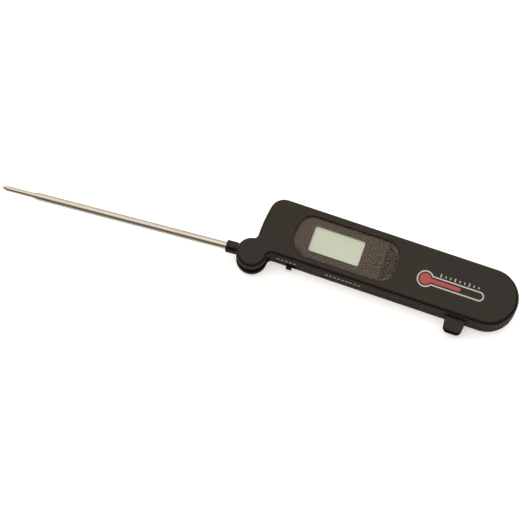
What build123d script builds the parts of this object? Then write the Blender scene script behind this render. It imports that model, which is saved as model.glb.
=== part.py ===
from build123d import *
import os
from math import cos, radians, sin

# Folding digital meat thermometer, in millimetres.
# X runs along the handle to its free end, Y across it, away from the folded probe,
# and Z through it to the display face. The origin is where the probe's pivot axis
# meets the back face.

# Handle
THICKNESS = 16.0
HANDLE_WIDTH = 31.7
LOW_SIDE = 2.3
HIGH_SIDE = LOW_SIDE + HANDLE_WIDTH
MIDDLE = LOW_SIDE + HANDLE_WIDTH / 2
END_RADIUS = HANDLE_WIDTH / 2
END_CENTRE = 126.8
NEAR_SIDE = 0.4
NEAR_SIDE_RADIUS = 87.0
NEAR_SIDE_TURN = 9.9
NEAR_CORNER_RADIUS = 8.0
PARTING = 6.5
PARTING_CHAMFER = 0.2
FRONT_EDGE = 2.4
BACK_EDGE = 1.5
WALL = 2.0

# Clearances
FIT_GAP = 0.15
THREAD_GAP = 0.02
RUNNING_CLEARANCE = 0.05
FLANGE_GAP = 0.1
CUT_PAST = 1.0

# Pivot: two ears with the hub of the probe between them
EAR_RADIUS = 8.4
EAR_CENTRE = (0.3, -0.2)
EAR_BLEND = 2.5
SLOT_WIDTH = 6.9
SLOT_MIDDLE = THICKNESS / 2
SLOT_LOW = SLOT_MIDDLE - SLOT_WIDTH / 2
SLOT_HIGH = SLOT_MIDDLE + SLOT_WIDTH / 2
HUB_RADIUS = 7.4
HUB_THICKNESS = 6.6
HUB_LOW = SLOT_MIDDLE - HUB_THICKNESS / 2
HUB_HIGH = SLOT_MIDDLE + HUB_THICKNESS / 2
HUB_GAP = 0.4
HUB_WALL = 1.6
HUB_EDGE = 0.4
TRUNNION_RADIUS = 3.0
FRONT_TRUNNION_END = 12.9
FRONT_BEARING_END = 14.3
BACK_TRUNNION_END = 2.4
BACK_BEARING_END = 2.3
WASHER_INNER = 3.2
WASHER_OUTER = 6.2
WASHER_LOW = 4.3
WASHER_THICKNESS = 0.35

# Probe: its axis passes beside the pivot axis, and stops short of a straight line
PROBE_OFFSET = 1.75
SHORT_OF_STRAIGHT = 4.07
COLLAR_NECK = 3.2
COLLAR_START = 8.6
COLLAR_RADIUS = 3.4
COLLAR_EDGE = 0.4
COLLAR_END = 14.3
TUBE_RADIUS = 2.1
TUBE_BORE = 1.75
TUBE_START = 4.5
SWAGE_START = 119.2
TUBE_END = 121.6
TUBE_LIP = 0.2
BORE_STEP = 0.6
TIP_RADIUS = 1.45
TIP_BORE = 1.2
TIP_START = 117.6
TIP_END = 139.6
POINT_LENGTH = 4.4
POINT_SHOULDER = 1.2
POINT_RADIUS = 0.55
BEAD_RADIUS = 0.7
BEAD_START = 130.5
BEAD_END = 133.2
BEAD_EDGE = 0.4
POTTING_START = 124.0
CAVITY_END = 134.2

# Window and display
WINDOW_LEFT = 18.2
WINDOW_RIGHT = 76.5
WINDOW_LOW = 6.3
WINDOW_HIGH = 29.9
WINDOW_END_RADIUS = 15.5
WINDOW_CORNER = 7.0
WINDOW_GAP = 0.3
LENS_THICKNESS = 1.2
LENS_BELOW_FACE = 0.05
LENS_EDGE = 0.25
INK_THICKNESS = 0.1
MASK_THICKNESS = 0.15
TAPE_THICKNESS = 0.2
TAPE_OUTER = 0.6
TAPE_INNER = 1.8
DISPLAY_CENTRE = (41.9, 18.2)
DISPLAY_VIEW = (28.0, 14.4)
DISPLAY_CORNER = 1.1
GLASS_SIZE = (31.4, 18.2)
FILM_SIZE = (30.4, 16.6)
REFLECTOR_SIZE = (30.4, 14.2)
FILM_THICKNESS = 0.2
GLASS_THICKNESS = 1.1
GLASS_SEAT = 12.2
APERTURE = (33.4, 19.6)
WINDOW_FLOOR = 1.0
HOLDER_SIZE = (34.4, 21.4)
HOLDER_TOP = 12.8
HOLDER_WINDOW = (30.0, 13.4)
STRIP_SIZE = (30.0, 1.6)
STRIP_OFFSET = 8.0

# Circuit board
BOARD_LOW = 8.4
BOARD_THICKNESS = 1.2
BOARD_TOP = BOARD_LOW + BOARD_THICKNESS
BOARD_LEFT = 12.9
BOARD_RIGHT = 80.4
BOARD_NEAR = 5.2
BOARD_FAR = 30.8
BOARD_CORNER = 1.0

# Slide switch on the low side
KNOB_LEFT = 19.3
KNOB_WIDTH = 3.1
KNOB_LOW = 2.5
KNOB_HIGH = 5.5
KNOB_PROUD = 2.1
KNOB_EDGE = 0.5
SWITCH_TRAVEL = 2.0
SWITCH_GAP = 0.2

# Battery bay: one AAA cell
CELL_RADIUS = 5.25
CELL_LENGTH = 44.5
CELL_NUB_RADIUS = 1.9
CELL_NUB = 0.8
CELL_START = 88.6
CELL_HEIGHT = 8.0
CELL_EDGE = 0.5
CONTACT_THICKNESS = 0.4
CONTACT_SIZE = (9.5, 9.1)
CONTACT_CORNER = 0.6
DIMPLE_HEIGHT = 0.6
DIMPLE_RADIUS = 1.6
DIMPLE_TAPER = 20
NEGATIVE_PLATE = 137.6
SPRING_WIRE = 0.3
SPRING_RADIUS = 3.8
SPRING_TURNS = 4
SPRING_TAPER = 20

# Battery door, which slides off over the free end
DOOR_START = 88.0
DOOR_HALF_WIDTH = 8.3
DOOR_THICKNESS = 2.0
TONGUE = 0.8
TONGUE_LOW = 1.05
TONGUE_END = 136.0
DOOR_GAP = 0.1
DOOR_TAB = 1.8
DOOR_TAB_HALF_WIDTH = 6.0
RAIL_MIDDLE = 8.3
RAIL_WIDTH = 2.8
RAIL_HEIGHT = 1.3
GRIP_START = 93.0
GRIP_PITCH = 2.0
GRIP_GROOVES = 4
GRIP_GROOVE = 0.9
GRIP_DEPTH = 0.4
GRIP_HALF_WIDTH = 4.0
ARROW_START = 103.0
ARROW_END = 107.0
ARROW_HALF_WIDTH = 3.0

# Probe clip under the low side
CLIP_LEFT = 108.2
CLIP_RIGHT = 119.3
CLIP_ROOT = 0.6
CLIP_TAPER = 0.8
CLIP_CORNER = 2.8
CLIP_EDGE = 0.35
CLIP_DEPTH = 7.5
CLIP_THICKNESS = 7.0
CLIP_SLOT_RADIUS = 2.4
CLIP_FLANGE = 1.4
CLIP_FLANGE_LIP = 1.1

# Screws: places in X and Y
CASE_SCREWS = [(7.5, 10.9), (9.5, 27.6), (84.0, 7.0), (84.0, 28.9), (125.5, 6.0), (125.5, 30.0)]
CASE_SCREW_SEAT = 3.6
CASE_SCREW_RADIUS = 1.0
CASE_SCREW_LENGTH = 8.0
CASE_HEAD_RADIUS = 1.9
CASE_HEAD_HEIGHT = 1.3
CASE_BOSS = 2.6
BOARD_SCREWS = [(15.0, 27.0), (15.0, 16.0), (76.5, 8.5), (76.5, 27.5)]
BOARD_SCREW_RADIUS = 0.75
BOARD_SCREW_LENGTH = 4.2
BOARD_HEAD_RADIUS = 1.5
BOARD_HEAD_HEIGHT = 1.0
BOARD_BOSS = 2.0
PILOT_END = 13.0
SCREW_POINT_TAPER = 35
# Shares of a screw head's radius or height
RECESS_SPAN = 1.25
RECESS_WIDTH = 0.3
RECESS_DEPTH = 0.6
HEAD_EDGE = 0.4

# Wires
WIRE_RADIUS = 0.22
WIRE_HALF_PITCH = 0.35
WIRE_SPLIT = 12.4
WIRE_BEND = 5.5
WIRE_BEND_RADIUS = 3.0
WIRE_TURN_RADIUS = 1.2
WIRE_WAY_RADIUS = 1.6
WIRE_BORE = 2.0
WIRE_LEVEL = 13.55
WIRE_DROP = (14.0, 10.0, 11.6)
WIRE_HALF_SPREAD = 0.5
WIRE_PAD = (14.6, 10.4, BOARD_TOP)
PAD_HALF_PITCH = 0.9
WIRE_SWEEP = 2.0
GROOVE_LENGTH = 11.5
GROOVE_WIDTH = 1.6
GROOVE_TOP = 14.2
LEAD_RADIUS = 0.4
LEAD_LEVEL = 11.0
LEAD_LANE = 10.4
LEAD_END = 79.0
LEAD_TURN = 0.9
LEAD_BEND = 1.2

os.makedirs("parts", exist_ok=True)


def box_between(low, high, mode=Mode.ADD):
    """A block from its lowest corner to its highest corner."""
    size = Vector(*high) - Vector(*low)
    with Locations(low):
        Box(size.X, size.Y, size.Z, align=(Align.MIN, Align.MIN, Align.MIN), mode=mode)


def save(piece, name):
    piece.part.label = name
    export_step(piece.part, f"parts/{name}.step")


# The probe's own directions: along it to the tip, and sideways from the pivot axis
out_angle = radians(180 + SHORT_OF_STRAIGHT)
outward = Vector(cos(out_angle), sin(out_angle), 0)
sideways = Vector(sin(out_angle), -cos(out_angle), 0)
probe_foot = sideways * PROBE_OFFSET + Vector(0, 0, SLOT_MIDDLE)
probe_plane = Plane(origin=probe_foot, x_dir=sideways, z_dir=outward)
probe_profile_plane = Plane(origin=probe_foot, x_dir=outward, z_dir=(0, 0, 1))
probe_axis = Axis(probe_foot, outward)
groove_direction = Vector(0.8, 0.6, 0)

# ---------------------------------------------------------------- shared outlines

# The handle without its hub
near_turn = radians(NEAR_SIDE_TURN)
near_curve_start = (
    HIGH_SIDE - NEAR_SIDE_RADIUS * sin(near_turn) - NEAR_CORNER_RADIUS * (1 - sin(near_turn))
)
with BuildSketch() as body_outline:
    with BuildLine():
        near_line = Line((NEAR_SIDE, LOW_SIDE), (NEAR_SIDE, near_curve_start))
        near_curve = JernArc(near_line @ 1, (0, 1), NEAR_SIDE_RADIUS, -NEAR_SIDE_TURN)
        near_corner = JernArc(
            near_curve @ 1, near_curve % 1, NEAR_CORNER_RADIUS, NEAR_SIDE_TURN - 90
        )
        high_line = Line(near_corner @ 1, (END_CENTRE, HIGH_SIDE))
        end_arc = ThreePointArc(
            high_line @ 1, (END_CENTRE + END_RADIUS, MIDDLE), (END_CENTRE, LOW_SIDE)
        )
        Line(end_arc @ 1, near_line @ 0)
    make_face()

# The whole handle: the hub's ear blends into the near side and the low side
with BuildSketch() as case_outline:
    add(body_outline.sketch)
    with Locations(EAR_CENTRE):
        Circle(EAR_RADIUS)
    ear_corners = [
        case_outline.vertices().sort_by_distance((NEAR_SIDE, EAR_RADIUS))[0],
        case_outline.vertices().sort_by_distance((EAR_RADIUS, LOW_SIDE))[0],
    ]
    fillet(ear_corners, EAR_BLEND)

# The hollow inside the walls, which stops short of the hub
with BuildSketch() as cavity_outline:
    offset(body_outline.sketch, amount=-WALL)
    Circle(HUB_RADIUS + HUB_GAP + HUB_WALL, mode=Mode.SUBTRACT)

# The slot between the ears, open towards the near side and the low side
SLOT_REACH = 13.0
with BuildSketch() as hub_slot:
    Circle(HUB_RADIUS + HUB_GAP)
    with Locations((NEAR_SIDE, SLOT_REACH)):
        Rectangle(2 * SLOT_REACH, 2 * SLOT_REACH, align=(Align.MAX, Align.MAX))
    with Locations((SLOT_REACH, LOW_SIDE)):
        Rectangle(2 * SLOT_REACH, 2 * SLOT_REACH, align=(Align.MAX, Align.MAX))

# The window's recess: straight long sides and bulged ends
window_middle = (WINDOW_LOW + WINDOW_HIGH) / 2
window_half = (WINDOW_HIGH - WINDOW_LOW) / 2
window_bulge = WINDOW_END_RADIUS - (WINDOW_END_RADIUS**2 - window_half**2) ** 0.5
with BuildSketch() as window_outline:
    with BuildLine():
        window_top = Line(
            (WINDOW_LEFT + window_bulge, WINDOW_HIGH), (WINDOW_RIGHT - window_bulge, WINDOW_HIGH)
        )
        window_right = ThreePointArc(
            window_top @ 1,
            (WINDOW_RIGHT, window_middle),
            (WINDOW_RIGHT - window_bulge, WINDOW_LOW),
        )
        window_bottom = Line(window_right @ 1, (WINDOW_LEFT + window_bulge, WINDOW_LOW))
        ThreePointArc(window_bottom @ 1, (WINDOW_LEFT, window_middle), window_top @ 0)
    make_face()
    fillet(window_outline.vertices(), WINDOW_CORNER)

LENS_TOP = THICKNESS - LENS_BELOW_FACE
LENS_LOW = LENS_TOP - LENS_THICKNESS
MASK_LOW = LENS_LOW - MASK_THICKNESS
WINDOW_SEAT = MASK_LOW - TAPE_THICKNESS
GLASS_LOW = GLASS_SEAT + FILM_THICKNESS
GLASS_TOP = GLASS_LOW + GLASS_THICKNESS

# ---------------------------------------------------------------- handle shells

past_end = END_CENTRE + 2 * END_RADIUS
clip_low = SLOT_MIDDLE - CLIP_THICKNESS / 2
clip_high = SLOT_MIDDLE + CLIP_THICKNESS / 2
clip_inner = LOW_SIDE + WALL + FLANGE_GAP
CELL_AXIS = Plane(origin=(0, MIDDLE, CELL_HEIGHT), x_dir=(0, 1, 0), z_dir=(1, 0, 0))
CRADLE_RIBS = [96.0, 111.0, 126.0]
CRADLE_HALF_WIDTH = 6.8
CRADLE_LOW = 9.5
RIB = 1.2


def cut_clip_opening():
    """The opening for the probe clip, half of it in each shell."""
    box_between(
        (CLIP_LEFT - RUNNING_CLEARANCE, LOW_SIDE - CUT_PAST, clip_low - RUNNING_CLEARANCE),
        (CLIP_RIGHT + RUNNING_CLEARANCE, clip_inner, clip_high + RUNNING_CLEARANCE),
        mode=Mode.SUBTRACT,
    )


with BuildPart() as front_shell:
    with BuildSketch(Plane.XY.offset(PARTING)):
        add(case_outline.sketch)
    extrude(amount=THICKNESS - PARTING)
    fillet(front_shell.faces().sort_by(Axis.Z)[-1].edges(), FRONT_EDGE)
    chamfer(front_shell.faces().sort_by(Axis.Z)[0].edges(), PARTING_CHAMFER)
    # Hollow
    with BuildSketch(Plane.XY.offset(PARTING)):
        add(cavity_outline.sketch)
    extrude(amount=THICKNESS - WALL - PARTING, mode=Mode.SUBTRACT)
    # Floor under the window, sunk below the face
    with BuildSketch(Plane.XY.offset(WINDOW_SEAT - WINDOW_FLOOR)):
        offset(window_outline.sketch, amount=RIB)
    extrude(until=Until.NEXT)
    with BuildSketch(Plane.XY.offset(WINDOW_SEAT)):
        add(window_outline.sketch)
    extrude(amount=THICKNESS, mode=Mode.SUBTRACT)
    with BuildSketch(Plane.XY.offset(PARTING)):
        with Locations(DISPLAY_CENTRE):
            Rectangle(*APERTURE)
    extrude(amount=THICKNESS, mode=Mode.SUBTRACT)
    # Bosses for the case screws and the board screws
    with BuildSketch(Plane.XY.offset(PARTING)):
        with Locations(CASE_SCREWS):
            Circle(CASE_BOSS)
    extrude(amount=THICKNESS - WALL - PARTING)
    with BuildSketch(Plane.XY.offset(BOARD_TOP)):
        with Locations(BOARD_SCREWS):
            Circle(BOARD_BOSS)
    extrude(until=Until.NEXT)
    with BuildSketch(Plane.XY.offset(PARTING)):
        with Locations(CASE_SCREWS):
            Circle(CASE_SCREW_RADIUS + THREAD_GAP)
    extrude(amount=PILOT_END - PARTING, mode=Mode.SUBTRACT)
    with BuildSketch(Plane.XY.offset(BOARD_TOP)):
        with Locations(BOARD_SCREWS):
            Circle(BOARD_SCREW_RADIUS + THREAD_GAP)
    extrude(amount=PILOT_END - BOARD_TOP, mode=Mode.SUBTRACT)
    # Ribs that cradle the cell
    for rib_x in CRADLE_RIBS:
        box_between(
            (rib_x, MIDDLE - CRADLE_HALF_WIDTH, CRADLE_LOW),
            (rib_x + RIB, MIDDLE + CRADLE_HALF_WIDTH, THICKNESS - WALL),
        )
    with BuildSketch(CELL_AXIS.offset(CELL_START)):
        Circle(CELL_RADIUS + FIT_GAP)
    extrude(amount=CELL_LENGTH, mode=Mode.SUBTRACT)
    # Slot between the ears, bearing in the front ear, and the groove for the wires
    with BuildSketch(Plane.XY.offset(PARTING)):
        add(hub_slot.sketch)
    extrude(amount=SLOT_HIGH - PARTING, mode=Mode.SUBTRACT)
    with BuildSketch(Plane.XY.offset(SLOT_HIGH)):
        Circle(TRUNNION_RADIUS + RUNNING_CLEARANCE)
    extrude(amount=FRONT_BEARING_END - SLOT_HIGH, mode=Mode.SUBTRACT)
    with BuildSketch(Plane((0, 0, SLOT_HIGH), x_dir=groove_direction, z_dir=(0, 0, 1))):
        Rectangle(GROOVE_LENGTH, GROOVE_WIDTH, align=(Align.MIN, Align.CENTER))
    extrude(amount=GROOVE_TOP - SLOT_HIGH, mode=Mode.SUBTRACT)
    cut_clip_opening()
save(front_shell, "front_shell")

with BuildPart() as back_shell:
    with BuildSketch():
        add(case_outline.sketch)
    extrude(amount=PARTING)
    chamfer(back_shell.faces().sort_by(Axis.Z)[-1].edges(), PARTING_CHAMFER)
    fillet(back_shell.faces().sort_by(Axis.Z)[0].edges(), BACK_EDGE)
    with BuildSketch(Plane.XY.offset(WALL)):
        add(cavity_outline.sketch)
    extrude(amount=PARTING, mode=Mode.SUBTRACT)
    # Bosses for the case screws, counterbored from the back
    with BuildSketch(Plane.XY.offset(WALL)):
        with Locations(CASE_SCREWS):
            Circle(CASE_BOSS)
    extrude(amount=PARTING - WALL)
    with Locations(*[(x, y, PARTING) for x, y in CASE_SCREWS]):
        Hole(CASE_SCREW_RADIUS + FIT_GAP)
    with BuildSketch():
        with Locations(CASE_SCREWS):
            Circle(CASE_HEAD_RADIUS + FIT_GAP)
    extrude(amount=CASE_SCREW_SEAT, mode=Mode.SUBTRACT)
    # Battery opening: rails over the door's tongues, and a way out at the free end
    for side in (-1, 1):
        box_between(
            (DOOR_START, MIDDLE + side * RAIL_MIDDLE - RAIL_WIDTH / 2, WALL),
            (TONGUE_END, MIDDLE + side * RAIL_MIDDLE + RAIL_WIDTH / 2, WALL + RAIL_HEIGHT),
        )
    box_between(
        (DOOR_START - DOOR_GAP, MIDDLE - DOOR_HALF_WIDTH - DOOR_GAP, 0),
        (past_end, MIDDLE + DOOR_HALF_WIDTH + DOOR_GAP, TONGUE_LOW),
        mode=Mode.SUBTRACT,
    )
    box_between(
        (DOOR_START - DOOR_GAP, MIDDLE - DOOR_HALF_WIDTH - TONGUE - DOOR_GAP, TONGUE_LOW - DOOR_GAP),
        (past_end, MIDDLE + DOOR_HALF_WIDTH + TONGUE + DOOR_GAP, DOOR_THICKNESS + DOOR_GAP),
        mode=Mode.SUBTRACT,
    )
    box_between(
        (
            DOOR_START - DOOR_TAB - DOOR_GAP,
            MIDDLE - DOOR_TAB_HALF_WIDTH - DOOR_GAP,
            TONGUE_LOW - DOOR_GAP,
        ),
        (DOOR_START, MIDDLE + DOOR_TAB_HALF_WIDTH + DOOR_GAP, DOOR_THICKNESS + DOOR_GAP),
        mode=Mode.SUBTRACT,
    )
    # Slot between the ears, bearing in the back ear, and the recess for the washer
    with BuildSketch(Plane.XY.offset(SLOT_LOW)):
        add(hub_slot.sketch)
    extrude(amount=PARTING, mode=Mode.SUBTRACT)
    with BuildSketch(Plane.XY.offset(BACK_BEARING_END)):
        Circle(TRUNNION_RADIUS + RUNNING_CLEARANCE)
    extrude(amount=PARTING, mode=Mode.SUBTRACT)
    with BuildSketch(Plane.XY.offset(WASHER_LOW)):
        Circle(WASHER_OUTER + FIT_GAP)
    extrude(amount=PARTING, mode=Mode.SUBTRACT)
    # Slot for the switch knob
    box_between(
        (KNOB_LEFT - SWITCH_GAP, LOW_SIDE - CUT_PAST, KNOB_LOW - SWITCH_GAP),
        (
            KNOB_LEFT + KNOB_WIDTH + SWITCH_TRAVEL + SWITCH_GAP,
            LOW_SIDE + WALL + FLANGE_GAP,
            KNOB_HIGH + SWITCH_GAP,
        ),
        mode=Mode.SUBTRACT,
    )
    cut_clip_opening()
save(back_shell, "back_shell")

# ---------------------------------------------------------------- battery door

with BuildPart() as battery_door:
    with BuildSketch():
        add(case_outline.sketch)
    extrude(amount=DOOR_THICKNESS)
    fillet(battery_door.faces().sort_by(Axis.Z)[0].edges(), BACK_EDGE)
    box_between(
        (DOOR_START, MIDDLE - DOOR_HALF_WIDTH, -CUT_PAST),
        (past_end, MIDDLE + DOOR_HALF_WIDTH, THICKNESS),
        mode=Mode.INTERSECT,
    )
    # Tongues along both sides, and the tab under the shell's edge
    box_between(
        (DOOR_START, MIDDLE - DOOR_HALF_WIDTH - TONGUE, TONGUE_LOW),
        (TONGUE_END, MIDDLE + DOOR_HALF_WIDTH + TONGUE, DOOR_THICKNESS),
    )
    box_between(
        (DOOR_START - DOOR_TAB, MIDDLE - DOOR_TAB_HALF_WIDTH, TONGUE_LOW),
        (DOOR_START, MIDDLE + DOOR_TAB_HALF_WIDTH, DOOR_THICKNESS),
    )
    # Thumb grip: grooves and an arrow that points the way the door slides
    for groove in range(GRIP_GROOVES):
        groove_x = GRIP_START + groove * GRIP_PITCH
        box_between(
            (groove_x, MIDDLE - GRIP_HALF_WIDTH, -CUT_PAST),
            (groove_x + GRIP_GROOVE, MIDDLE + GRIP_HALF_WIDTH, GRIP_DEPTH),
            mode=Mode.SUBTRACT,
        )
    with BuildSketch():
        with BuildLine():
            Polyline(
                (ARROW_START, MIDDLE - ARROW_HALF_WIDTH),
                (ARROW_END, MIDDLE),
                (ARROW_START, MIDDLE + ARROW_HALF_WIDTH),
                close=True,
            )
        make_face()
    extrude(amount=GRIP_DEPTH, mode=Mode.SUBTRACT)
save(battery_door, "battery_door")

# ---------------------------------------------------------------- window and display

with BuildPart() as window_lens:
    with BuildSketch(Plane.XY.offset(LENS_LOW)):
        offset(window_outline.sketch, amount=-WINDOW_GAP - INK_THICKNESS)
    extrude(amount=LENS_THICKNESS)
    fillet(window_lens.faces().sort_by(Axis.Z)[-1].edges(), LENS_EDGE)
save(window_lens, "window_lens")

# The ink covers the lens's back, around the display, and its edge
with BuildPart() as lens_mask:
    with BuildSketch(Plane.XY.offset(MASK_LOW)):
        offset(window_outline.sketch, amount=-WINDOW_GAP)
    extrude(amount=LENS_TOP - LENS_EDGE - MASK_LOW)
    add(window_lens.part, mode=Mode.SUBTRACT)
    with BuildSketch(Plane.XY.offset(MASK_LOW)):
        with Locations(DISPLAY_CENTRE):
            RectangleRounded(*DISPLAY_VIEW, DISPLAY_CORNER)
    extrude(amount=MASK_THICKNESS, mode=Mode.SUBTRACT)
save(lens_mask, "lens_mask")

with BuildPart() as lens_tape:
    with BuildSketch(Plane.XY.offset(WINDOW_SEAT)):
        offset(window_outline.sketch, amount=-TAPE_OUTER)
        offset(window_outline.sketch, amount=-TAPE_INNER, mode=Mode.SUBTRACT)
    extrude(amount=TAPE_THICKNESS)
save(lens_tape, "lens_tape")


def display_layer(low, size, thickness):
    """A flat layer of the display, centred in the holder."""
    with BuildPart() as layer:
        with BuildSketch(Plane.XY.offset(low)):
            with Locations(DISPLAY_CENTRE):
                Rectangle(*size)
        extrude(amount=thickness)
    return layer


save(display_layer(GLASS_TOP, FILM_SIZE, FILM_THICKNESS), "lcd_polariser")
save(display_layer(GLASS_LOW, GLASS_SIZE, GLASS_THICKNESS), "lcd_glass")
save(display_layer(GLASS_SEAT, REFLECTOR_SIZE, FILM_THICKNESS), "lcd_reflector")

with BuildPart() as lcd_frame:
    with BuildSketch(Plane.XY.offset(BOARD_TOP)):
        with Locations(DISPLAY_CENTRE):
            Rectangle(*HOLDER_SIZE)
            Rectangle(*HOLDER_WINDOW, mode=Mode.SUBTRACT)
            with Locations((0, STRIP_OFFSET), (0, -STRIP_OFFSET)):
                Rectangle(STRIP_SIZE[0] + FIT_GAP, STRIP_SIZE[1] + FIT_GAP, mode=Mode.SUBTRACT)
    extrude(amount=HOLDER_TOP - BOARD_TOP)
    with BuildSketch(Plane.XY.offset(GLASS_SEAT)):
        with Locations(DISPLAY_CENTRE):
            Rectangle(GLASS_SIZE[0] + 2 * FIT_GAP, GLASS_SIZE[1] + 2 * FIT_GAP)
    extrude(amount=THICKNESS, mode=Mode.SUBTRACT)
save(lcd_frame, "lcd_frame")

with BuildPart() as zebra_strips:
    with BuildSketch(Plane.XY.offset(BOARD_TOP)):
        with Locations(DISPLAY_CENTRE):
            with Locations((0, STRIP_OFFSET), (0, -STRIP_OFFSET)):
                Rectangle(*STRIP_SIZE)
    extrude(amount=GLASS_LOW - BOARD_TOP)
save(zebra_strips, "zebra_strips")

# ---------------------------------------------------------------- circuit board

with BuildPart() as circuit_board:
    box_between((BOARD_LEFT, BOARD_NEAR, BOARD_LOW), (BOARD_RIGHT, BOARD_FAR, BOARD_TOP))
    fillet(circuit_board.edges().filter_by(Axis.Z), BOARD_CORNER)
    with BuildSketch(Plane.XY.offset(BOARD_LOW)):
        with Locations(BOARD_SCREWS):
            Circle(BOARD_SCREW_RADIUS + FIT_GAP)
    extrude(amount=BOARD_THICKNESS, mode=Mode.SUBTRACT)
save(circuit_board, "circuit_board")

CHIP_CENTRE = (44.0, 18.0)
CHIP_RADIUS = 5.0
CHIP_HEIGHT = 1.4
# The blob is a cap of a sphere, under the board
chip_sphere = (CHIP_RADIUS**2 + CHIP_HEIGHT**2) / (2 * CHIP_HEIGHT)
with BuildPart() as chip_blob:
    with Locations((*CHIP_CENTRE, BOARD_LOW - CHIP_HEIGHT + chip_sphere)):
        Sphere(chip_sphere)
    split(bisect_by=Plane.XY.offset(BOARD_LOW), keep=Keep.BOTTOM)
save(chip_blob, "chip_blob")

SMD_START = 56.0
SMD_PITCH = 3.2
SMD_COLUMNS = 4
SMD_ROWS = (12.0, 16.0, 24.0)
SMD_SIZE = (2.0, 1.25, 0.7)
with BuildPart() as smd_parts:
    smd_places = [
        (SMD_START + column * SMD_PITCH, row, BOARD_LOW)
        for column in range(SMD_COLUMNS)
        for row in SMD_ROWS
    ]
    with Locations(*smd_places):
        Box(*SMD_SIZE, align=(Align.CENTER, Align.CENTER, Align.MAX))
save(smd_parts, "smd_parts")

# ---------------------------------------------------------------- slide switch

LEVER_LEFT = 20.3
LEVER_WIDTH = 1.5
LEVER_LOW = 5.4
LEVER_HIGH = 6.9
LEVER_TIP = 4.9
LEVER_INSIDE = 1.0
FLANGE_LOW = 2.3
FLANGE_HIGH = 7.6
FLANGE_REACH = 2.9
FLANGE_THICKNESS = 1.3
FLANGE_NEAR = LOW_SIDE + WALL + FIT_GAP
FLANGE_FAR = FLANGE_NEAR + FLANGE_THICKNESS
SWITCH_NEAR = 6.8
SWITCH_FAR = 10.4
SWITCH_LEFT = 17.0
SWITCH_RIGHT = 26.0
SWITCH_LOW = 4.9

with BuildPart() as switch_knob:
    box_between(
        (KNOB_LEFT, LOW_SIDE - KNOB_PROUD, KNOB_LOW),
        (KNOB_LEFT + KNOB_WIDTH, FLANGE_NEAR, KNOB_HIGH),
    )
    fillet(switch_knob.faces().sort_by(Axis.Y)[0].edges(), KNOB_EDGE)
    box_between(
        (KNOB_LEFT - FLANGE_REACH, FLANGE_NEAR, FLANGE_LOW),
        (KNOB_LEFT + KNOB_WIDTH + FLANGE_REACH, FLANGE_FAR, FLANGE_HIGH),
    )
    # Pocket that catches the switch's lever
    box_between(
        (LEVER_LEFT - FIT_GAP, LEVER_TIP - FIT_GAP, LEVER_LOW - FIT_GAP),
        (LEVER_LEFT + LEVER_WIDTH + FIT_GAP, FLANGE_FAR + CUT_PAST, LEVER_HIGH + FIT_GAP),
        mode=Mode.SUBTRACT,
    )
save(switch_knob, "switch_knob")

with BuildPart() as switch_lever:
    box_between(
        (LEVER_LEFT, LEVER_TIP, LEVER_LOW),
        (LEVER_LEFT + LEVER_WIDTH, SWITCH_NEAR + LEVER_INSIDE, LEVER_HIGH),
    )
save(switch_lever, "switch_lever")

with BuildPart() as switch_body:
    box_between((SWITCH_LEFT, SWITCH_NEAR, SWITCH_LOW), (SWITCH_RIGHT, SWITCH_FAR, BOARD_LOW))
    box_between(
        (LEVER_LEFT - SWITCH_GAP, SWITCH_NEAR - CUT_PAST, LEVER_LOW - SWITCH_GAP),
        (
            LEVER_LEFT + LEVER_WIDTH + SWITCH_TRAVEL + SWITCH_GAP,
            SWITCH_NEAR + LEVER_INSIDE + SWITCH_GAP,
            LEVER_HIGH + SWITCH_GAP,
        ),
        mode=Mode.SUBTRACT,
    )
save(switch_body, "switch_body")

# ---------------------------------------------------------------- battery and contacts

with BuildPart() as battery_cell:
    with BuildSketch(CELL_AXIS.offset(CELL_START)):
        Circle(CELL_NUB_RADIUS)
    extrude(amount=CELL_NUB)
    with BuildSketch(CELL_AXIS.offset(CELL_START + CELL_NUB)):
        Circle(CELL_RADIUS)
    extrude(amount=CELL_LENGTH - CELL_NUB)
    fillet(
        battery_cell.edges().filter_by(GeomType.CIRCLE).filter_by(
            lambda edge: edge.radius == CELL_RADIUS
        ),
        CELL_EDGE,
    )
save(battery_cell, "battery_cell")

cell_end = CELL_START + CELL_LENGTH
plate_start = CELL_START - DIMPLE_HEIGHT - CONTACT_THICKNESS
with BuildPart() as battery_contact_positive:
    with BuildSketch(CELL_AXIS.offset(plate_start)):
        RectangleRounded(*CONTACT_SIZE, CONTACT_CORNER)
    extrude(amount=CONTACT_THICKNESS)
    with BuildSketch(CELL_AXIS.offset(CELL_START - DIMPLE_HEIGHT)):
        Circle(DIMPLE_RADIUS)
    extrude(amount=DIMPLE_HEIGHT, taper=DIMPLE_TAPER)
save(battery_contact_positive, "battery_contact_positive")

with BuildPart() as battery_contact_negative:
    with BuildSketch(CELL_AXIS.offset(NEGATIVE_PLATE)):
        RectangleRounded(*CONTACT_SIZE, CONTACT_CORNER)
    extrude(amount=CONTACT_THICKNESS)
save(battery_contact_negative, "battery_contact_negative")

# The conical spring stands on the plate and narrows towards the cell
spring_start = NEGATIVE_PLATE - SPRING_WIRE - THREAD_GAP
spring_height = spring_start - cell_end - SPRING_WIRE - THREAD_GAP
with BuildPart() as battery_spring:
    with BuildLine():
        spring_line = Helix(
            pitch=spring_height / SPRING_TURNS,
            height=spring_height,
            radius=SPRING_RADIUS,
            center=(spring_start, MIDDLE, CELL_HEIGHT),
            direction=(-1, 0, 0),
            cone_angle=-SPRING_TAPER,
        )
    with BuildSketch(Plane(origin=spring_line @ 0, z_dir=spring_line % 0)):
        Circle(SPRING_WIRE)
    sweep(is_frenet=True)
save(battery_spring, "battery_spring")

# ---------------------------------------------------------------- probe clip

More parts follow.
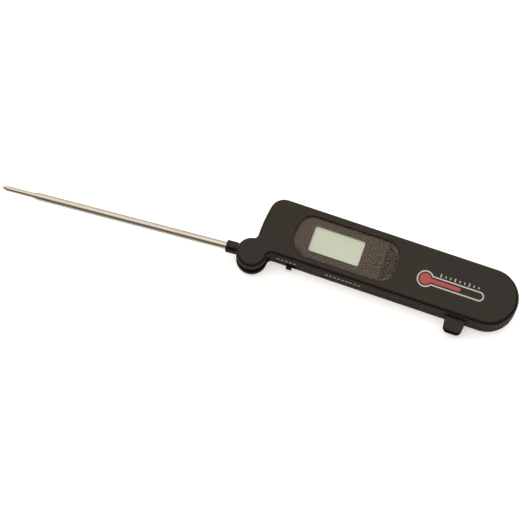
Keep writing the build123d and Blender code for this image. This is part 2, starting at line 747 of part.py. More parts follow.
with BuildPart() as probe_clip:
    with BuildSketch(Plane.XY.offset(clip_low)):
        with BuildLine():
            Polyline(
                (CLIP_LEFT, clip_inner),
                (CLIP_LEFT, LOW_SIDE - CLIP_ROOT),
                (CLIP_LEFT + CLIP_TAPER, LOW_SIDE - CLIP_DEPTH),
                (CLIP_RIGHT - CLIP_TAPER, LOW_SIDE - CLIP_DEPTH),
                (CLIP_RIGHT, LOW_SIDE - CLIP_ROOT),
                (CLIP_RIGHT, clip_inner),
                close=True,
            )
        make_face()
    extrude(amount=CLIP_THICKNESS)
    fillet(probe_clip.edges().filter_by(Axis.Z).group_by(Axis.Y)[0], CLIP_CORNER)
    fillet(probe_clip.faces().sort_by(Axis.Z)[-1].edges().group_by(Axis.Y)[:-1], CLIP_EDGE)
    # Flange inside the shells
    box_between(
        (CLIP_LEFT - CLIP_FLANGE, clip_inner, clip_low - CLIP_FLANGE_LIP),
        (CLIP_RIGHT + CLIP_FLANGE, clip_inner + CLIP_FLANGE, clip_high + CLIP_FLANGE_LIP),
    )
    # Slot that takes the folded probe
    box_between(
        (CLIP_LEFT, LOW_SIDE - CLIP_DEPTH, SLOT_MIDDLE - CLIP_SLOT_RADIUS),
        (CLIP_RIGHT, -PROBE_OFFSET, SLOT_MIDDLE + CLIP_SLOT_RADIUS),
        mode=Mode.SUBTRACT,
    )
    with BuildSketch(Plane((0, -PROBE_OFFSET, SLOT_MIDDLE), x_dir=(0, 1, 0), z_dir=(1, 0, 0))):
        Circle(CLIP_SLOT_RADIUS)
    extrude(amount=CLIP_RIGHT, mode=Mode.SUBTRACT)
save(probe_clip, "probe_clip")

# ---------------------------------------------------------------- probe

with BuildPart() as probe_hub:
    with BuildSketch(Plane.XY.offset(HUB_LOW)):
        Circle(HUB_RADIUS)
    extrude(amount=HUB_THICKNESS)
    fillet(probe_hub.edges(), HUB_EDGE)
    with BuildSketch(probe_profile_plane):
        with BuildLine():
            Polyline(
                (0, 0),
                (0, COLLAR_NECK),
                (COLLAR_START, COLLAR_NECK),
                (COLLAR_START, COLLAR_RADIUS),
                (COLLAR_END - COLLAR_EDGE, COLLAR_RADIUS),
                (COLLAR_END, COLLAR_RADIUS - COLLAR_EDGE),
                (COLLAR_END, 0),
                close=True,
            )
        make_face()
    revolve(axis=probe_axis)
    with BuildSketch(Plane.XY.offset(BACK_TRUNNION_END)):
        Circle(TRUNNION_RADIUS)
    extrude(amount=FRONT_TRUNNION_END - BACK_TRUNNION_END)
    # Bore for the tube, and the way for the wires up the pivot axis
    with BuildSketch(probe_plane.offset(TUBE_START)):
        Circle(TUBE_RADIUS + THREAD_GAP)
    extrude(amount=COLLAR_END, mode=Mode.SUBTRACT)
    with BuildSketch(probe_plane.offset(-WIRE_WAY_RADIUS)):
        Circle(WIRE_BORE)
    extrude(amount=TUBE_START + WIRE_WAY_RADIUS, mode=Mode.SUBTRACT)
    with BuildSketch(Plane.XY.offset(SLOT_MIDDLE - CUT_PAST)):
        Circle(WIRE_WAY_RADIUS)
    extrude(amount=THICKNESS, mode=Mode.SUBTRACT)
save(probe_hub, "probe_hub")

with BuildPart() as probe_tube:
    with BuildSketch(probe_profile_plane):
        with BuildLine():
            Polyline(
                (TUBE_START, TUBE_BORE),
                (TUBE_START, TUBE_RADIUS),
                (SWAGE_START, TUBE_RADIUS),
                (TUBE_END, TIP_RADIUS + TUBE_LIP),
                (TUBE_END, TIP_RADIUS),
                (TIP_START - BORE_STEP, TIP_RADIUS),
                (TIP_START - 2 * BORE_STEP, TUBE_BORE),
                close=True,
            )
        make_face()
    revolve(axis=probe_axis)
save(probe_tube, "probe_tube")

with BuildPart() as probe_tip:
    with BuildSketch(probe_profile_plane):
        with BuildLine():
            tip_inside = Line((TIP_START, TIP_BORE), (TIP_START, TIP_RADIUS))
            tip_side = Line(tip_inside @ 1, (TIP_END - POINT_LENGTH, TIP_RADIUS))
            tip_point = ThreePointArc(
                tip_side @ 1,
                (TIP_END - POINT_LENGTH / 2, POINT_SHOULDER),
                (TIP_END - POINT_RADIUS, POINT_RADIUS),
            )
            tip_nose = RadiusArc(tip_point @ 1, (TIP_END, 0), POINT_RADIUS)
            tip_floor = Polyline(tip_nose @ 1, (CAVITY_END, 0), (CAVITY_END, TIP_BORE))
            Line(tip_floor @ 1, tip_inside @ 0)
        make_face()
    revolve(axis=probe_axis)
save(probe_tip, "probe_tip")

with BuildPart() as sensor_bead:
    with BuildSketch(probe_plane.offset(BEAD_START)):
        Circle(BEAD_RADIUS)
    extrude(amount=BEAD_END - BEAD_START)
    fillet(sensor_bead.edges(), BEAD_EDGE)
save(sensor_bead, "sensor_bead")

with BuildPart() as friction_washer:
    with BuildSketch(Plane.XY.offset(WASHER_LOW)):
        Circle(WASHER_OUTER)
        Circle(WASHER_INNER, mode=Mode.SUBTRACT)
    extrude(amount=WASHER_THICKNESS)
save(friction_washer, "friction_washer")

# ---------------------------------------------------------------- wires


def wire_along(points, radii, radius=WIRE_RADIUS):
    """A wire through the points, its corners rounded by the radii."""
    with BuildPart() as wire:
        with BuildLine():
            route = FilletPolyline(*points, radius=radii)
        with BuildSketch(Plane(origin=route @ 0, z_dir=route % 0)):
            Circle(radius)
        sweep()
    return wire.part


# The sensor's pair leaves the bead, runs down the tube and turns up the pivot axis
with BuildPart() as probe_wires:
    for side in (-1, 1):
        shift = sideways * side * WIRE_HALF_PITCH
        add(
            wire_along(
                [
                    probe_foot + outward * BEAD_START + shift,
                    probe_foot + outward * WIRE_BEND + shift,
                    Vector(0, 0, SLOT_MIDDLE) + shift,
                    Vector(0, 0, WIRE_SPLIT) + shift,
                ],
                [WIRE_BEND_RADIUS, WIRE_TURN_RADIUS],
            )
        )
save(probe_wires, "probe_wires")

# The same pair, from the pivot axis along the ear's groove to the board
groove_end = groove_direction * GROOVE_LENGTH + Vector(0, 0, WIRE_LEVEL)
with BuildPart() as lead_wires:
    for side in (-1, 1):
        shift = sideways * side * WIRE_HALF_PITCH
        add(
            wire_along(
                [
                    Vector(0, 0, WIRE_SPLIT) + shift,
                    Vector(0, 0, WIRE_LEVEL) + shift,
                    groove_end + shift,
                    Vector(*WIRE_DROP) + Vector(0, side * WIRE_HALF_SPREAD, 0),
                    Vector(*WIRE_PAD) + Vector(0, side * PAD_HALF_PITCH, 0),
                ],
                [LEAD_TURN, WIRE_SWEEP, LEAD_TURN],
            )
        )
save(lead_wires, "lead_wires")

with BuildPart() as tip_potting:
    with BuildSketch(probe_plane.offset(POTTING_START)):
        Circle(TIP_BORE)
    extrude(amount=CAVITY_END - POTTING_START)
    add(sensor_bead.part, mode=Mode.SUBTRACT)
    add(probe_wires.part, mode=Mode.SUBTRACT)
save(tip_potting, "tip_potting")

# The cell's two leads, from its contacts to the board
with BuildPart() as battery_leads:
    add(
        wire_along(
            [
                (plate_start, MIDDLE, LEAD_LEVEL),
                (LEAD_END, MIDDLE, LEAD_LEVEL),
                (LEAD_END, MIDDLE, BOARD_TOP),
            ],
            [LEAD_TURN],
            LEAD_RADIUS,
        )
    )
    add(
        wire_along(
            [
                (NEGATIVE_PLATE + CONTACT_THICKNESS / 2, MIDDLE - CONTACT_SIZE[0] / 2, LEAD_LEVEL),
                (NEGATIVE_PLATE + CONTACT_THICKNESS / 2, LEAD_LANE, LEAD_LEVEL),
                (LEAD_END, LEAD_LANE, LEAD_LEVEL),
                (LEAD_END, LEAD_LANE, BOARD_TOP),
            ],
            [LEAD_BEND, LEAD_TURN],
            LEAD_RADIUS,
        )
    )
save(battery_leads, "battery_leads")

# ---------------------------------------------------------------- screws


def self_tapper(head_radius, head_height, shank_radius, length):
    """A pan-head screw that points up, its seat at the origin, with a cross recess."""
    with BuildPart() as screw:
        with BuildSketch(Plane.XY.offset(-head_height)):
            Circle(head_radius)
        extrude(amount=head_height)
        fillet(screw.faces().sort_by(Axis.Z)[0].edges(), head_height * HEAD_EDGE)
        with BuildSketch():
            Circle(shank_radius)
        extrude(amount=length - shank_radius)
        with BuildSketch(Plane.XY.offset(length - shank_radius)):
            Circle(shank_radius)
        extrude(amount=shank_radius, taper=SCREW_POINT_TAPER)
        with BuildSketch(Plane.XY.offset(-head_height)):
            Rectangle(head_radius * RECESS_SPAN, head_radius * RECESS_WIDTH)
            Rectangle(head_radius * RECESS_WIDTH, head_radius * RECESS_SPAN)
        extrude(amount=head_height * RECESS_DEPTH, mode=Mode.SUBTRACT)
    return screw.part


with BuildPart() as case_screws:
    with Locations(*[(x, y, CASE_SCREW_SEAT) for x, y in CASE_SCREWS]):
        add(
            self_tapper(CASE_HEAD_RADIUS, CASE_HEAD_HEIGHT, CASE_SCREW_RADIUS, CASE_SCREW_LENGTH)
        )
save(case_screws, "case_screws")

with BuildPart() as board_screws:
    with Locations(*[(x, y, BOARD_LOW) for x, y in BOARD_SCREWS]):
        add(
            self_tapper(
                BOARD_HEAD_RADIUS, BOARD_HEAD_HEIGHT, BOARD_SCREW_RADIUS, BOARD_SCREW_LENGTH
            )
        )
save(board_screws, "board_screws")
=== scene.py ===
from math import atan2, cos, degrees, radians, sin

import bpy
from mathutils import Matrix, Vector


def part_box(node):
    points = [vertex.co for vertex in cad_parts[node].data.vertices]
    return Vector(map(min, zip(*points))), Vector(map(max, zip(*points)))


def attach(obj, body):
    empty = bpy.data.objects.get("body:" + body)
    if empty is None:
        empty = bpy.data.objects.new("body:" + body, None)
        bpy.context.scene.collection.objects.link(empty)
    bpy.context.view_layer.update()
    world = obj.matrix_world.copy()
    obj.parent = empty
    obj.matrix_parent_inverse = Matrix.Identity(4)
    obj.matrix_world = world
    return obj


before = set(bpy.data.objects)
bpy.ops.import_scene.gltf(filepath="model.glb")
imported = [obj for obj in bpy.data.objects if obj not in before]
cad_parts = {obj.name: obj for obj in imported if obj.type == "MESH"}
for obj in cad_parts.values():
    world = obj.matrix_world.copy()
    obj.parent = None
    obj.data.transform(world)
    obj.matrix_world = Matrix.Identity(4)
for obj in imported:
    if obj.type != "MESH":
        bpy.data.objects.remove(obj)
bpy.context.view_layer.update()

MM = 0.001
case_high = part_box("front_shell")[1]
back_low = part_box("back_shell")[0]
lens_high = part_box("window_lens")[1]
film_low, film_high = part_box("lcd_polariser")
door_low, door_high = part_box("battery_door")
cell_low, cell_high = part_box("battery_cell")
face_height = case_high.z
low_side = door_low.y + door_high.y - case_high.y


# ------------------------------------------------------------------ materials

MAP_ENDS = ("From Min", "From Max", "To Min", "To Max")


class Look:
    """A material's node tree, with short calls for the nodes used here."""

    def __init__(self, name):
        self.material = bpy.data.materials.new(name)
        self.material.use_nodes = True
        self.nodes = self.material.node_tree.nodes
        self.links = self.material.node_tree.links
        self.shader = self.nodes["Principled BSDF"]
        self.place = self.nodes.new("ShaderNodeTexCoord").outputs["Object"]

    def feed(self, socket, value):
        if isinstance(value, bpy.types.NodeSocket):
            self.links.new(value, socket)
        elif value is not None:
            socket.default_value = value

    def base(self, colour):
        """Base colour."""
        self.feed(self.shader.inputs["Base Color"], colour)

    def rough(self, amount):
        """Roughness."""
        self.feed(self.shader.inputs["Roughness"], amount)

    def relief(self, normal):
        """Surface normal."""
        self.feed(self.shader.inputs["Normal"], normal)

    def set(self, **values):
        """Plain values on the shader's own sockets: coat_weight=0.2 sets Coat Weight."""
        for name, value in values.items():
            socket = self.shader.inputs[name.replace("_", " ").title().replace("Ior", "IOR")]
            socket.default_value = value

    def stretched(self, scale, turn=0.0):
        """Object coordinates, turned back about Z and then scaled along each axis."""
        mapping = self.nodes.new("ShaderNodeMapping")
        mapping.vector_type = "TEXTURE"
        mapping.inputs["Scale"].default_value = [1 / value for value in scale]
        mapping.inputs["Rotation"].default_value = (0, 0, turn)
        self.links.new(self.place, mapping.inputs["Vector"])
        return mapping.outputs["Vector"]

    def noise(self, scale, detail=3.0, where=None, roughness=0.5):
        node = self.nodes.new("ShaderNodeTexNoise")
        node.inputs["Scale"].default_value = scale
        node.inputs["Detail"].default_value = detail
        node.inputs["Roughness"].default_value = roughness
        self.links.new(where or self.place, node.inputs["Vector"])
        return node.outputs["Fac"]

    def cells(self, scale, where=None):
        node = self.nodes.new("ShaderNodeTexVoronoi")
        node.inputs["Scale"].default_value = scale
        self.links.new(where or self.place, node.inputs["Vector"])
        return node.outputs["Distance"]

    def remap(self, value, low, high, to_low=0.0, to_high=1.0):
        node = self.nodes.new("ShaderNodeMapRange")
        node.interpolation_type = "SMOOTHSTEP"
        self.links.new(value, node.inputs["Value"])
        for name, number in zip(MAP_ENDS, (low, high, to_low, to_high)):
            node.inputs[name].default_value = number
        return node.outputs["Result"]

    def combine(self, first, second, operation="ADD"):
        node = self.nodes.new("ShaderNodeMath")
        node.operation = operation
        self.feed(node.inputs[0], first)
        self.feed(node.inputs[1], second)
        return node.outputs["Value"]

    def mix(self, factor, first, second):
        node = self.nodes.new("ShaderNodeMix")
        node.data_type = "RGBA"
        self.feed(node.inputs["Factor"], factor)
        self.feed(node.inputs["A"], first)
        self.feed(node.inputs["B"], second)
        return node.outputs["Result"]

    def bump(self, height, depth, under=None):
        """A bump of the given depth in metres, on top of another bump."""
        node = self.nodes.new("ShaderNodeBump")
        node.inputs["Distance"].default_value = depth
        self.links.new(height, node.inputs["Height"])
        if under is not None:
            self.links.new(under, node.inputs["Normal"])
        return node.outputs["Normal"]

    def edge(self, radius):
        """1 on sharp edges and 0 on flats, from how far a bevel would turn the normal."""
        bevel = self.nodes.new("ShaderNodeBevel")
        bevel.samples = 4
        bevel.inputs["Radius"].default_value = radius
        flat = self.nodes.new("ShaderNodeNewGeometry")
        dot = self.nodes.new("ShaderNodeVectorMath")
        dot.operation = "DOT_PRODUCT"
        self.links.new(bevel.outputs["Normal"], dot.inputs[0])
        self.links.new(flat.outputs["Normal"], dot.inputs[1])
        return self.remap(dot.outputs["Value"], 0.995, 0.9)

    def axis(self, name, of=None):
        node = self.nodes.new("ShaderNodeSeparateXYZ")
        self.links.new(of or self.place, node.inputs["Vector"])
        return node.outputs[name]

    def upright(self):
        """1 on walls that stand square to the faces, and 0 on the faces themselves."""
        facing = self.axis("Z", self.nodes["Texture Coordinate"].outputs["Normal"])
        return self.remap(self.combine(facing, 0.0, "ABSOLUTE"), 0.55, 0.15)


def srgb(red, green, blue):
    """A linear colour from the 0 to 255 values a screen shows."""
    linear = []
    for value in (red, green, blue):
        share = value / 255
        linear.append(share / 12.92 if share <= 0.04045 else ((share + 0.055) / 1.055) ** 2.4)
    return (*linear, 1.0)


WORN_EDGE = 0.25 * MM
GRAIN_DEPTH = 0.010 * MM
PIT_DEPTH = 0.006 * MM
CASE_ROUGHNESS = (0.27, 0.34)
SCUFFED = 0.07
WORN = 0.2
WALL_ROUGHER = 0.5
CASE_GLOSS = 0.17


def moulded_plastic(name, colour, lighter):
    """Spark-textured moulding: fine grain, faint flow clouds, scuffs and polished edges."""
    look = Look(name)
    clouds = look.noise(38, 2)
    fine = look.noise(5200, 2)
    pits = look.cells(3600)
    scuffs = look.remap(look.noise(120, 4, look.stretched((1.0, 14.0, 6.0), 0.5)), 0.64, 0.74)
    worn = look.edge(WORN_EDGE)
    base = look.mix(look.remap(clouds, 0.3, 0.7), colour, lighter)
    base = look.mix(look.remap(fine, 0.3, 0.75, 0.0, 0.16), base, lighter)
    scuffed = look.mix(look.combine(scuffs, SCUFFED, "MULTIPLY"), base, (0.16, 0.14, 0.12, 1))
    patchy = look.combine(worn, look.remap(look.noise(420, 3), 0.35, 0.7), "MULTIPLY")
    look.base(look.mix(look.combine(patchy, WORN, "MULTIPLY"), scuffed, (0.13, 0.11, 0.095, 1)))
    rough = look.remap(look.noise(260, 4), 0.3, 0.7, *CASE_ROUGHNESS)
    rough = look.combine(rough, look.combine(scuffs, 0.05, "MULTIPLY"))
    rough = look.combine(rough, look.combine(look.upright(), WALL_ROUGHER, "MULTIPLY"))
    look.rough(look.combine(rough, look.combine(worn, -0.06, "MULTIPLY")))
    rugged = look.bump(fine, GRAIN_DEPTH)
    look.relief(look.bump(pits, PIT_DEPTH, rugged))
    look.set(specular_ior_level=CASE_GLOSS)
    return look.material


def smooth_plastic(name, colour, lighter, roughness):
    """An even surface with slow clouds of tone and a faint ripple."""
    look = Look(name)
    clouds = look.remap(look.noise(90, 3), 0.3, 0.7)
    look.base(look.mix(clouds, colour, lighter))
    look.rough(look.remap(look.noise(700, 3), 0.3, 0.7, *roughness))
    look.relief(look.bump(look.noise(1600, 2), 0.003 * MM))
    return look.material


def drawn_metal(name, colour, darker, turn=0.0, roughness=(0.2, 0.34)):
    """Metal with fine lines along its own length, and faint blotches of handling."""
    look = Look(name)
    along = look.stretched((6.0, 900.0, 900.0), turn)
    hair = look.noise(5.0, 5, along, 0.65)
    blotch = look.noise(70, 4)
    base = look.mix(look.remap(hair, 0.25, 0.8), colour, darker)
    look.base(look.mix(look.remap(blotch, 0.5, 0.8, 0.0, 0.35), base, darker))
    rough = look.remap(hair, 0.25, 0.75, *roughness)
    look.rough(look.combine(rough, look.remap(blotch, 0.45, 0.75, 0.0, 0.07)))
    look.relief(look.bump(hair, 0.003 * MM))
    look.set(metallic=1.0)
    return look.material


WINDOW_IOR = 1.18


def clear_window(name):
    """Acrylic: what is behind shows through, with a gloss that grows at low angles."""
    look = Look(name)
    look.nodes.remove(look.shader)
    through = look.nodes.new("ShaderNodeBsdfTransparent")
    through.inputs["Color"].default_value = (0.97, 0.96, 0.94, 1)
    gloss = look.nodes.new("ShaderNodeBsdfGlossy")
    gloss.inputs["Color"].default_value = (1, 1, 1, 1)
    look.feed(gloss.inputs["Roughness"], look.remap(look.noise(240, 4), 0.35, 0.75, 0.012, 0.030))
    wave = look.bump(look.noise(45, 1), 0.004 * MM)
    look.feed(gloss.inputs["Normal"], wave)
    rim = look.nodes.new("ShaderNodeFresnel")
    rim.inputs["IOR"].default_value = WINDOW_IOR
    mix = look.nodes.new("ShaderNodeMixShader")
    look.feed(mix.inputs["Fac"], rim.outputs["Fac"])
    look.links.new(through.outputs["BSDF"], mix.inputs[1])
    look.links.new(gloss.outputs["BSDF"], mix.inputs[2])
    look.links.new(mix.outputs["Shader"], look.nodes["Material Output"].inputs["Surface"])
    return look.material


FILM = (0.500, 0.595, 0.539, 1)
FILM_LIGHT = (0.522, 0.617, 0.556, 1)
FILM_DARK = (0.403, 0.485, 0.442, 1)


def display_film(name):
    """The grey-green of an unlit display, with a fine grain and a slow drift of tone."""
    look = Look(name)
    grain = look.noise(9000, 2)
    drift = look.noise(30, 1)
    base = look.mix(look.remap(drift, 0.35, 0.65), FILM, FILM_LIGHT)
    look.base(look.mix(look.remap(grain, 0.3, 0.7, 0.0, 0.12), base, FILM_DARK))
    look.rough(look.remap(grain, 0.3, 0.7, 0.42, 0.52))
    look.relief(look.bump(grain, 0.002 * MM))
    look.set(coat_weight=0.3, coat_roughness=0.2)
    return look.material


INK_WEAR = 0.36


def printed_ink(name, colour, thinner):
    """Pad-printed ink: slightly uneven, thinner in specks."""
    look = Look(name)
    specks = look.remap(look.noise(2600, 3), 0.56, 0.72, 0.0, INK_WEAR)
    look.base(look.mix(specks, colour, thinner))
    look.rough(look.remap(look.noise(900, 3), 0.3, 0.7, 0.4, 0.55))
    look.relief(look.bump(look.noise(3000, 2), 0.004 * MM))
    return look.material


CELL_BANDS = [
    (0.0, (0.62, 0.60, 0.56, 1)),
    (0.045, (0.50, 0.22, 0.07, 1)),
    (0.36, (0.012, 0.014, 0.018, 1)),
    (0.975, (0.62, 0.60, 0.56, 1)),
]


def battery_sleeve(name, start, end):
    """Bands along the cell: a bare end, a copper-coloured band and a dark sleeve."""
    look = Look(name)
    along = look.remap(look.axis("X"), start, end)
    band = look.nodes.new("ShaderNodeValToRGB")
    band.color_ramp.interpolation = "CONSTANT"
    for spare in range(len(CELL_BANDS) - 2):
        band.color_ramp.elements.new(0.5 + spare * 0.1)
    for element, (place, colour) in zip(band.color_ramp.elements, CELL_BANDS):
        element.position = place
        element.color = colour
    look.nodes["Map Range"].interpolation_type = "LINEAR"
    look.links.new(along, band.inputs["Fac"])
    rubbed = look.remap(look.noise(300, 3), 0.4, 0.8, 0.0, 0.15)
    look.base(look.mix(rubbed, band.outputs["Color"], (0.3, 0.3, 0.3, 1)))
    look.rough(look.remap(look.noise(500, 3), 0.3, 0.7, 0.2, 0.32))
    look.set(metallic=0.35, coat_weight=0.5)
    return look.material


def circuit_laminate(name):
    """Solder mask over copper: lighter tracks on a darker green."""
    look = Look(name)
    tracks = look.nodes.new("ShaderNodeTexBrick")
    look.links.new(look.place, tracks.inputs["Vector"])
    tracks.inputs["Scale"].default_value = 160
    tracks.inputs["Mortar Size"].default_value = 0.05
    tracks.inputs["Color1"].default_value = (0.010, 0.085, 0.030, 1)
    tracks.inputs["Color2"].default_value = (0.012, 0.100, 0.036, 1)
    tracks.inputs["Mortar"].default_value = (0.030, 0.200, 0.070, 1)
    look.base(tracks.outputs["Color"])
    look.rough(look.remap(look.noise(800, 3), 0.3, 0.7, 0.28, 0.42))
    look.relief(look.bump(tracks.outputs["Fac"], 0.01 * MM))
    return look.material


def rubber_strip(name):
    """Conductive rubber: thin dark and pale layers across the strip."""
    look = Look(name)
    layers = look.nodes.new("ShaderNodeTexWave")
    layers.inputs["Scale"].default_value = 1500
    look.links.new(look.place, layers.inputs["Vector"])
    dark, pale = (0.02, 0.02, 0.022, 1), (0.35, 0.34, 0.36, 1)
    look.base(look.mix(layers.outputs["Fac"], dark, pale))
    look.rough(look.remap(look.noise(900, 2), 0.3, 0.7, 0.6, 0.75))
    return look.material


# The probe's lines run along it, turned from the handle by this much
PROBE_TURN = radians(4.07)

CASE = (0.0090, 0.0046, 0.0022, 1)
CASE_LIGHT = (0.0105, 0.0058, 0.0031, 1)
HUB = (0.0062, 0.0034, 0.0020, 1)
HUB_LIGHT = (0.0076, 0.0044, 0.0027, 1)
KNOB = (0.0020, 0.0016, 0.0013, 1)
KNOB_LIGHT = (0.0032, 0.0027, 0.0023, 1)
MASK = (0.0290, 0.0150, 0.0055, 1)
MASK_LIGHT = (0.0320, 0.0175, 0.0068, 1)
STEEL = (0.37, 0.34, 0.30, 1)
STEEL_DARK = (0.29, 0.265, 0.23, 1)

case_material = moulded_plastic("case_plastic", CASE, CASE_LIGHT)
hub_material = moulded_plastic("hub_plastic", HUB, HUB_LIGHT)
knob_material = moulded_plastic("knob_plastic", KNOB, KNOB_LIGHT)
steel_material = drawn_metal("stainless", STEEL, STEEL_DARK, PROBE_TURN)
white_ink = printed_ink("white_ink", (0.40, 0.385, 0.375, 1), (0.20, 0.19, 0.18, 1))
red_ink = printed_ink("red_ink", (0.32, 0.022, 0.018, 1), (0.18, 0.016, 0.013, 1))
nickel_material = drawn_metal("nickel", (0.72, 0.69, 0.62, 1), (0.6, 0.57, 0.5, 1))
zinc_material = drawn_metal(
    "screw_steel", (0.34, 0.33, 0.32, 1), (0.22, 0.21, 0.2, 1), roughness=(0.32, 0.45)
)

NODE_LOOKS = {
    case_material: ["front_shell", "back_shell", "battery_door", "probe_clip"],
    hub_material: ["probe_hub"],
    knob_material: ["switch_knob", "switch_lever"],
    steel_material: ["probe_tube", "probe_tip"],
    nickel_material: [
        "battery_contact_positive",
        "battery_contact_negative",
        "battery_spring",
        "switch_body",
    ],
    zinc_material: ["case_screws", "board_screws"],
    clear_window("clear_acrylic"): ["window_lens"],
    smooth_plastic("mask_ink", MASK, MASK_LIGHT, (0.5, 0.6)): ["lens_mask"],
    smooth_plastic("tape", srgb(30, 30, 30), srgb(40, 40, 40), (0.7, 0.8)): ["lens_tape"],
    display_film("display_film"): ["lcd_polariser"],
    smooth_plastic("display_glass", srgb(150, 156, 140), srgb(158, 164, 148), (0.08, 0.14)): [
        "lcd_glass"
    ],
    drawn_metal("display_reflector", (0.6, 0.62, 0.55, 1), (0.52, 0.54, 0.48, 1)): [
        "lcd_reflector"
    ],
    smooth_plastic("holder_plastic", srgb(205, 205, 200), srgb(214, 214, 208), (0.4, 0.5)): [
        "lcd_frame"
    ],
    rubber_strip("conductive_rubber"): ["zebra_strips"],
    circuit_laminate("board_laminate"): ["circuit_board"],
    smooth_plastic("chip_epoxy", srgb(14, 14, 14), srgb(22, 22, 22), (0.15, 0.25)): ["chip_blob"],
    smooth_plastic("ceramic", srgb(140, 122, 100), srgb(156, 138, 116), (0.4, 0.5)): ["smd_parts"],
    smooth_plastic("wire_insulation", srgb(150, 24, 20), srgb(170, 34, 28), (0.35, 0.45)): [
        "battery_leads",
        "lead_wires",
        "probe_wires",
    ],
    smooth_plastic("sensor_glass", srgb(30, 28, 28), srgb(40, 38, 38), (0.1, 0.2)): ["sensor_bead"],
    smooth_plastic("potting", srgb(220, 220, 214), srgb(230, 230, 226), (0.5, 0.6)): ["tip_potting"],
    smooth_plastic("washer_polymer", srgb(224, 220, 205), srgb(232, 228, 214), (0.3, 0.4)): [
        "friction_washer"
    ],
    battery_sleeve("cell_sleeve", cell_low.x, cell_high.x): ["battery_cell"],
}
for material, names in NODE_LOOKS.items():
    for name in names:
        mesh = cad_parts[name].data
        mesh.materials.clear()
        mesh.materials.append(material)


# ------------------------------------------------------------------ printed marks


def circle_points(centre, radius, start, end, steps):
    """Points on an arc, from one angle in degrees to another."""
    points = []
    for step in range(steps + 1):
        angle = radians(start + (end - start) * step / steps)
        points.append((centre[0] + radius * cos(angle), centre[1] + radius * sin(angle)))
    return points


def thermometer_outline(bulb, bulb_radius, stem_radius, stem_end):
    """A bulb on the left that runs into a round-ended stem."""
    joint = (bulb_radius**2 - stem_radius**2) ** 0.5
    neck = degrees(atan2(stem_radius, joint))
    outline = circle_points(bulb, bulb_radius, neck, 360 - neck, 48)
    outline += circle_points((stem_end, bulb[1]), stem_radius, -90, 90, 20)
    return outline


def printed_piece(name, loops, plane_origin, plane_x, plane_y, thickness, material):
    """A thin print: closed loops in millimetres on a plane, the inner ones cut out."""
    curve = bpy.data.curves.new(name, "CURVE")
    curve.dimensions = "2D"
    curve.fill_mode = "BOTH"
    curve.extrude = thickness / 2
    for loop in loops:
        spline = curve.splines.new("POLY")
        spline.points.add(len(loop) - 1)
        for point, (x, y) in zip(spline.points, loop):
            point.co = (x * MM, y * MM, 0, 1)
        spline.use_cyclic_u = True
    flat = bpy.data.objects.new(name + "_flat", curve)
    bpy.context.scene.collection.objects.link(flat)
    bpy.context.view_layer.update()
    mesh = bpy.data.meshes.new_from_object(flat)
    bpy.data.objects.remove(flat)
    normal = plane_x.cross(plane_y)
    for vertex in mesh.vertices:
        x, y, z = vertex.co
        vertex.co = plane_origin + plane_x * x + plane_y * y + normal * (z + thickness / 2)
    mesh.name = name
    mesh.materials.clear()
    mesh.materials.append(material)
    piece = bpy.data.objects.new(name, mesh)
    bpy.context.scene.collection.objects.link(piece)
    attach(piece, "handle")


def rectangle(x, y, width, height):
    """The corners of a rectangle about its centre."""
    half_width, half_height = width / 2, height / 2
    return [
        (x - half_width, y - half_height),
        (x + half_width, y - half_height),
        (x + half_width, y + half_height),
        (x - half_width, y + half_height),
    ]


PRINT = 0.015 * MM
ALONG = Vector((1, 0, 0))
ACROSS = Vector((0, 1, 0))
UP = Vector((0, 0, 1))

# A plain thermometer sign on the face, past the window
SIGN_LENGTH = 37.0
SIGN_BULB = 4.6
SIGN_STEM = 2.7
SIGN_LINE = 0.75
CORE_SHARE = 0.62
SIGN_GAP = 11.2
SIGN_DROP = 2.0
TICK_START = 7.5
TICK_PITCH = 2.6
TICK_COUNT = 9
TICK_PLACE = SIGN_STEM + 1.55
LONG_TICK = (0.6, 2.0)
SHORT_TICK = (0.6, 1.1)
sign_origin = Vector(
    (
        lens_high.x + (SIGN_GAP + SIGN_BULB) * MM,
        (film_low.y + film_high.y) / 2 - SIGN_DROP * MM,
        face_height,
    )
)
stem_end = SIGN_LENGTH - SIGN_BULB - SIGN_STEM
outer = thermometer_outline((0, 0), SIGN_BULB, SIGN_STEM, stem_end)
inner = thermometer_outline((0, 0), SIGN_BULB - SIGN_LINE, SIGN_STEM - SIGN_LINE, stem_end)
core = thermometer_outline(
    (0, 0), SIGN_BULB - 2 * SIGN_LINE, SIGN_STEM - 2.2 * SIGN_LINE, stem_end * CORE_SHARE
)
ticks = [
    rectangle(TICK_START + TICK_PITCH * n, TICK_PLACE, *(SHORT_TICK if n % 3 else LONG_TICK))
    for n in range(TICK_COUNT)
]
printed_piece("sign_outline", [outer, inner] + ticks, sign_origin, ALONG, ACROSS, PRINT, white_ink)
printed_piece("sign_core", [core], sign_origin, ALONG, ACROSS, PRINT, red_ink)

# Small dashes on the low side wall, over the switch and further along
DASH = (1.5, 1.1)
DASH_PITCH = 2.25
SWITCH_DASHES = (14.4, 5)
SIDE_DASHES = (41.6, 9)
DASH_LEVEL = 10.2
dashes = [
    rectangle(start + DASH_PITCH * n, DASH_LEVEL, *DASH)
    for start, count in (SWITCH_DASHES, SIDE_DASHES)
    for n in range(count)
]
printed_piece("side_dashes", dashes, Vector((0, low_side, 0)), ALONG, UP, PRINT, white_ink)


# ------------------------------------------------------------------ floor, light and camera


BRIGHT = 2.5
DIM = 0.22
LIGHT_FROM = (-0.20, 0.42, 0.88)
FADE_END = 0.52
FADE_START = 0.88
LIGHT_COLOUR = (1.0, 0.93, 0.85, 1)
GLOW = 0.45
FLOOR_SIZE = 12.0
FLOOR_GAP = 0.0002


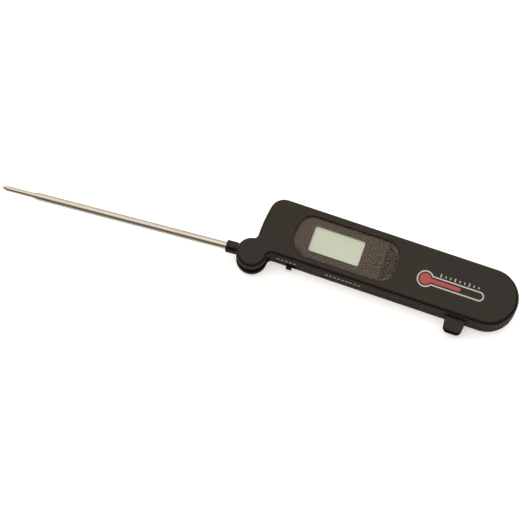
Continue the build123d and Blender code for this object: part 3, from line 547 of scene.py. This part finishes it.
def plain_floor():
    """A pale floor, just under the back face, that glows enough to stay white."""
    bpy.ops.mesh.primitive_grid_add(x_subdivisions=8, y_subdivisions=8, size=FLOOR_SIZE)
    floor = bpy.context.object
    floor.name = "floor"
    floor.location = (0.07, 0, back_low.z - FLOOR_GAP)
    look = Look("pale_floor")
    clouds = look.remap(look.noise(6, 2), 0.3, 0.7)
    look.base(look.mix(clouds, (0.92, 0.92, 0.92, 1), (0.95, 0.95, 0.95, 1)))
    look.rough(look.remap(look.noise(40, 2), 0.3, 0.7, 0.85, 0.95))
    look.set(specular_ior_level=0.1, emission_color=(1, 1, 1, 1), emission_strength=GLOW)
    floor.data.materials.append(look.material)


def studio_light():
    """One broad soft light, overhead and behind, that fades out to dim surroundings."""
    world = bpy.data.worlds.new("studio")
    world.use_nodes = True
    nodes, links = world.node_tree.nodes, world.node_tree.links
    toward = nodes.new("ShaderNodeVectorMath")
    toward.operation = "DOT_PRODUCT"
    toward.inputs[1].default_value = Vector(LIGHT_FROM).normalized()
    links.new(nodes.new("ShaderNodeTexCoord").outputs["Generated"], toward.inputs[0])
    fade = nodes.new("ShaderNodeMapRange")
    fade.interpolation_type = "SMOOTHSTEP"
    for name, number in zip(MAP_ENDS, (FADE_END, FADE_START, DIM, BRIGHT)):
        fade.inputs[name].default_value = number
    links.new(toward.outputs["Value"], fade.inputs["Value"])
    background = nodes["Background"]
    background.inputs["Color"].default_value = LIGHT_COLOUR
    links.new(fade.outputs["Result"], background.inputs["Strength"])
    bpy.context.scene.world = world


CAMERA_AZIMUTH = radians(19.23)
CAMERA_ELEVATION = radians(74.6)
CAMERA_DISTANCE = 1.07
CAMERA_LENS = 139.0
CAMERA_AIM = Vector((7.0 * MM, -3.5 * MM, face_height))


def photo_camera():
    """The photograph's view: steep, from the low side."""
    azimuth, elevation = CAMERA_AZIMUTH, CAMERA_ELEVATION
    back = Vector((sin(azimuth) * cos(elevation), -cos(azimuth) * cos(elevation), sin(elevation)))
    data = bpy.data.cameras.new("camera")
    data.lens = CAMERA_LENS
    data.sensor_width = 36.0
    data.clip_start = 0.01
    camera = bpy.data.objects.new("camera", data)
    bpy.context.scene.collection.objects.link(camera)
    camera.location = CAMERA_AIM + back * CAMERA_DISTANCE
    camera.rotation_mode = "QUATERNION"
    camera.rotation_quaternion = (-back).to_track_quat("-Z", "Y")
    bpy.context.scene.camera = camera


plain_floor()
studio_light()
photo_camera()
bpy.context.scene.view_settings.view_transform = "Standard"
